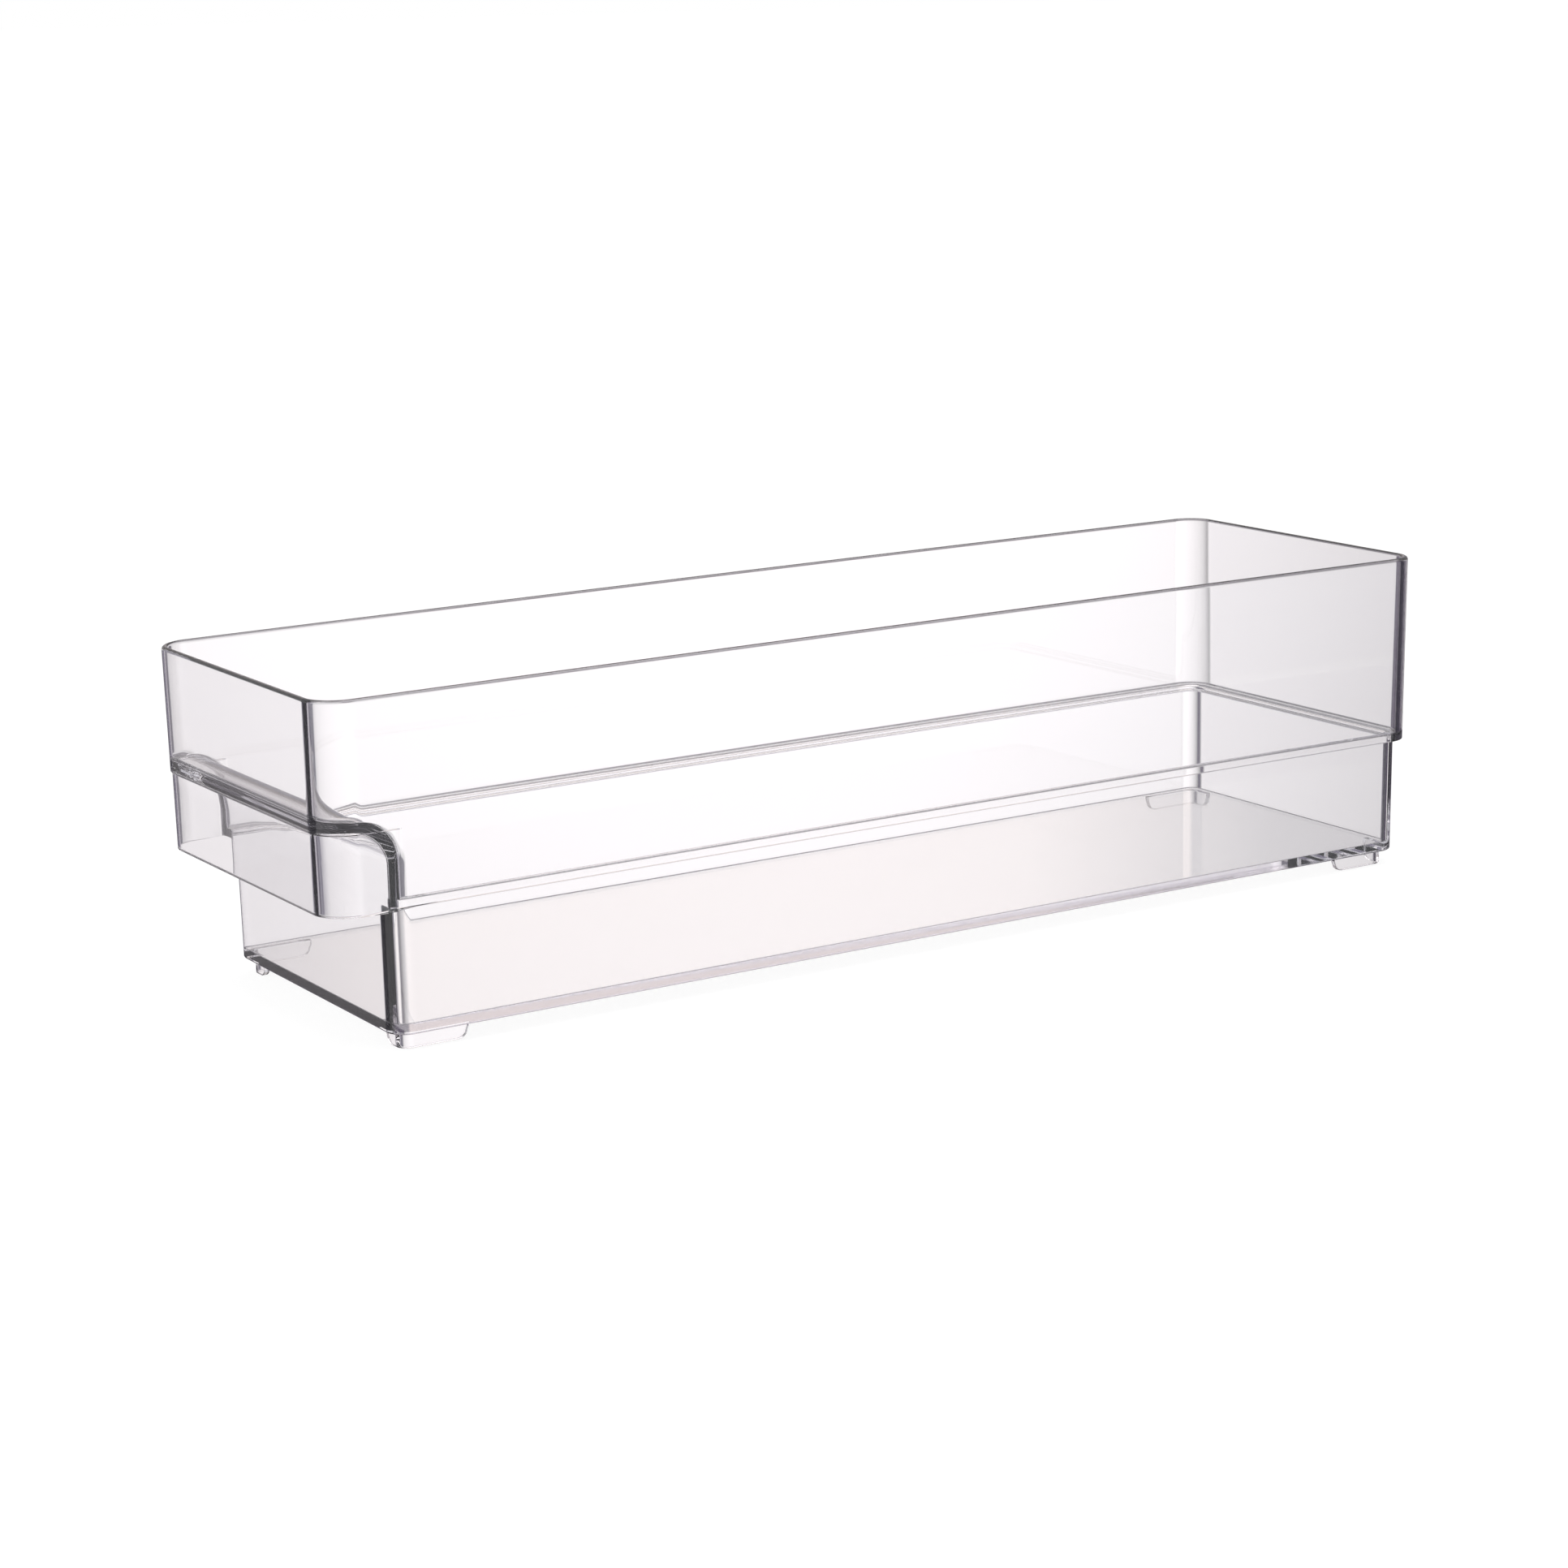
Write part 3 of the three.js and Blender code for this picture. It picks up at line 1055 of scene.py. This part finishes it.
@dataclass(frozen=True)
class Lamp:
    """A soft lamp that faces the object, in metres and watts. Gloss and plastic don't show it."""

    name: str
    place: Triple
    size: Span
    power: float
    nearly_above: float = 0.99

    def build(self) -> None:
        """Makes the lamp. Its back axis points from the object to its place."""
        data = bpy.data.lights.new(self.name, "AREA")
        data.shape, data.energy = "RECTANGLE", self.power
        data.size, data.size_y = self.size
        lamp = bpy.data.objects.new(self.name, data)
        bpy.context.scene.collection.objects.link(lamp)
        back = np.array(self.place) / np.linalg.norm(self.place)
        right = np.array([1.0, 0.0, 0.0])
        if abs(back[2]) < self.nearly_above:
            right = np.cross([0.0, 0.0, 1.0], back)
        right /= np.linalg.norm(right)
        lamp.matrix_world = placed(right, np.cross(back, right), back, np.array(self.place))
        lamp.visible_glossy = False
        lamp.visible_transmission = False


@dataclass(frozen=True)
class Studio:
    """A white floor, and the surroundings that gloss and clear plastic show: a sweep in a dim room.

    The view is the direction on the floor that zones are measured from. A later zone hides an
    earlier one where the two overlap. The floor's shade is how strong the object's shadow is.
    """

    floor_size: float = 60.0
    floor_shade: float = 0.12
    floor_paint: float = 0.9
    floor_glow: float = 1.03
    view: Span = (-0.849, 0.528)
    room: Triple = (0.0, 0.0, 0.0)
    sweep: Sweep = Sweep()
    zones: tuple[Zone, ...] = (
        Zone("overhead", (-200.0, 200.0), (45.0, 95.0), (1.67, 1.60, 1.63)),
        Zone("room", (-200.0, 200.0), (-6.0, 45.0), (0.47, 0.43, 0.44)),
        Zone("side_walls", (-100.0, 100.0), (22.0, 45.0), (0.50, 0.50, 0.52)),
        Zone("left_wall", (-100.0, 0.0), (-6.0, 22.0), (0.60, 0.60, 0.62)),
        Zone("right_wall", (0.0, 100.0), (-6.0, 22.0), (0.50, 0.46, 0.48)),
        Zone("floor_around", (-200.0, 200.0), (-62.0, -6.0), (0.80, 0.78, 0.82)),
        Zone("floor_right_rear", (100.0, 150.0), (-62.0, -6.0), (0.86, 0.87, 0.92)),
        Zone("floor_left", (-100.0, -40.0), (-36.0, -6.0), (0.20, 0.18, 0.24)),
        Zone("floor_right", (40.0, 100.0), (-36.0, -6.0), (0.04, 0.035, 0.05)),
        Zone("floor_near", (-100.0, 100.0), (-62.0, -36.0), (0.25, 0.23, 0.25)),
        Zone("floor_ahead", (-40.0, 40.0), (-36.0, -22.0), (0.25, 0.23, 0.25)),
        Zone("beside_left", (-40.0, -16.5), (-22.0, -6.0), (0.15, 0.14, 0.17), 1.4),
        Zone("beside_right", (15.0, 40.0), (-22.0, -6.0), (0.10, 0.08, 0.12), 1.4),
        Zone("left_mirror", (-63.0, -51.0), (-21.0, -5.0), (0.50, 0.47, 0.50)),
        Zone("low_window", (-24.0, -3.0), (-31.0, -22.0), (0.80, 0.78, 0.80)),
        Zone("rear_window", (-27.0, -16.5), (-24.0, -18.8), (0.85, 0.83, 0.86), 1.4),
        Zone("left_window", (-45.0, -20.0), (-9.0, 4.0), (0.80, 0.78, 0.80)),
        Zone("right_window", (44.0, 72.0), (-9.0, 4.0), (0.75, 0.73, 0.75)),
        Zone("under", (-200.0, 200.0), (-95.0, -62.0), (0.05, 0.05, 0.05)),
        Zone("sweep_low", (-16.5, 15.0), (-6.0, 8.0), (0.55, 0.52, 0.57)),
        Zone("sweep_up", (-16.5, 15.0), (8.0, 22.0), (0.92, 0.83, 0.80)),
        Zone("mirror_left", (-40.0, -7.4), (5.0, 28.0), (0.56, 0.52, 0.52), 3.0),
        Zone("mirror_right", (6.0, 40.0), (5.0, 28.0), (0.38, 0.36, 0.38), 4.0),
        Zone("sweep_top", (-16.5, 15.0), (22.0, 45.0), (0.90, 0.82, 0.81)),
    )
    lamps: tuple[Lamp, ...] = (
        Lamp("overhead_lamp", (0.2, -0.1, 1.6), (1.2, 1.2), 18.0),
        Lamp("front_lamp", (0.4, -1.9, 0.8), (0.8, 1.2), 12.0),
    )
    bounces: int = 24
    gloss_bounces: int = 12

    def rays(self, graph: Graph) -> tuple[Signal, Signal]:
        """Two signals of the light path.

        Args:
            graph: the nodes of the floor or the world.

        Returns:
            1 for camera rays, and 1 for rays that gloss or clear plastic has turned.
        """
        outputs = (ray.value for ray in Ray)
        camera, glossy, through = graph.signals("ShaderNodeLightPath", *outputs)
        return camera, (glossy + through).clamped(0.0, 1.0)

    def build_floor(self) -> None:
        """The floor: white to the camera but for the shadow. Rays from the plastic see past it."""
        side = self.floor_size / 2
        points = [(-side, -side, 0), (side, -side, 0), (side, side, 0), (-side, side, 0)]
        mesh = bpy.data.meshes.new("floor")
        mesh.from_pydata(points, [], [(0, 1, 2, 3)])
        floor = bpy.data.objects.new("floor", mesh)
        bpy.context.scene.collection.objects.link(floor)
        material = bpy.data.materials.new("pale_floor")
        graph = emptied(material)
        camera, turned = self.rays(graph)
        paint = (self.floor_paint, self.floor_paint, self.floor_paint, 1.0)
        lit = graph.signal("ShaderNodeBsdfDiffuse", Color=paint)
        white = graph.signal("ShaderNodeEmission", Color=WHITE, Strength=self.floor_glow)
        clear = graph.signal("ShaderNodeBsdfTransparent", Color=WHITE)
        share = camera * (1 - self.floor_shade)
        seen = graph.signal("ShaderNodeMixShader", _0=share, _1=lit, _2=white)
        both = graph.signal("ShaderNodeMixShader", _0=turned, _1=seen, _2=clear)
        graph.node("ShaderNodeOutputMaterial", Surface=both)
        mesh.materials.append(material)

    def build_world(self) -> None:
        """The world: white to the camera and to matt surfaces, and the zones to clear plastic.

        A direction's turn is the arctangent of its parts across and along the view, and its rise
        is the arcsine of its height.
        """
        world = bpy.data.worlds.new("studio")
        bpy.context.scene.world = world
        graph = emptied(world)
        (way,) = graph.signals("ShaderNodeTexCoord", "Generated")
        x, y, z = graph.signals("ShaderNodeSeparateXYZ", "X", "Y", "Z", Vector=way)
        along = x * self.view[0] + y * self.view[1]
        across = x * self.view[1] - y * self.view[0]
        turn = graph.math("ARCTAN2", across, along) * math.degrees(1)
        rise = graph.math("ARCSINE", z) * math.degrees(1)
        seen = graph.signal("ShaderNodeBackground", Color=(*self.room, 1.0), Strength=1.0)
        strengths = [(zone, 1.0) for zone in self.zones]
        for zone, strength in [*strengths, (self.sweep.zone, self.sweep.glow(turn, rise))]:
            part = graph.signal(
                "ShaderNodeBackground", Color=(*zone.colour, 1.0), Strength=strength
            )
            weight = zone.weight(turn, rise)
            seen = graph.signal("ShaderNodeMixShader", _0=weight, _1=seen, _2=part)
        _, turned = self.rays(graph)
        white = graph.signal("ShaderNodeBackground", Color=WHITE, Strength=1.0)
        both = graph.signal("ShaderNodeMixShader", _0=turned, _1=white, _2=seen)
        graph.node("ShaderNodeOutputWorld", Surface=both)

    def build(self) -> None:
        """Makes the floor, the world and the lamps, and lets rays turn often inside the plastic."""
        self.build_floor()
        self.build_world()
        for lamp in self.lamps:
            lamp.build()
        cycles = bpy.context.scene.cycles
        cycles.max_bounces = cycles.transmission_bounces = self.bounces
        cycles.glossy_bounces = self.gloss_bounces


@dataclass(frozen=True)
class ViewPoint:
    """The camera, at the place and the angle that the photograph's straight edges give.

    The distance and the aim are in millimetres, as the object's sizes are. The clip distances are
    in metres.
    """

    azimuth: float = 58.115
    elevation: float = 12.656
    roll: float = -1.246
    aim: Triple = (-19.51, 0.0, 37.60)
    distance: float = 1074.7
    focal_pixels: float = 4403.7
    picture_pixels: float = 1932.0
    sensor: float = 36.0
    clip: Span = (0.05, 200.0)

    def build(self) -> None:
        """Makes the camera. Its axes are the view's right and up, turned by the roll, and back."""
        turn, rise, roll = (math.radians(v) for v in (self.azimuth, self.elevation, self.roll))
        level = np.array([math.sin(turn), -math.cos(turn), 0.0])
        back = level * math.cos(rise) + np.array([0.0, 0.0, math.sin(rise)])
        right = np.array([math.cos(turn), math.sin(turn), 0.0])
        up = np.cross(back, right)
        across = right * math.cos(roll) + up * math.sin(roll)
        upward = -right * math.sin(roll) + up * math.cos(roll)
        data = bpy.data.cameras.new("camera")
        data.sensor_width = self.sensor
        data.lens = self.focal_pixels * self.sensor / self.picture_pixels
        data.clip_start, data.clip_end = self.clip
        camera = bpy.data.objects.new("camera", data)
        bpy.context.scene.collection.objects.link(camera)
        place = (np.array(self.aim) + back * self.distance) * MM
        camera.matrix_world = placed(across, upward, back, place)
        bpy.context.scene.camera = camera


def main() -> None:
    """Builds the tray, the studio and the camera."""
    logging.basicConfig(level=logging.INFO, format="%(message)s")
    tray = Tray()
    piece = tray.build()
    tray.dress(piece, ClearPlastic(floor_top=tray.shell.floor_top))
    mesh = piece.data
    log.info("%s: %d points, %d faces", piece.name, len(mesh.vertices), len(mesh.polygons))

    studio = Studio()
    studio.build()
    log.info("studio: %d zones, %d lamps", len(studio.zones) + 1, len(studio.lamps))

    ViewPoint().build()
    bpy.context.scene.view_settings.view_transform = "Standard"


if __name__ == "__main__":
    main()
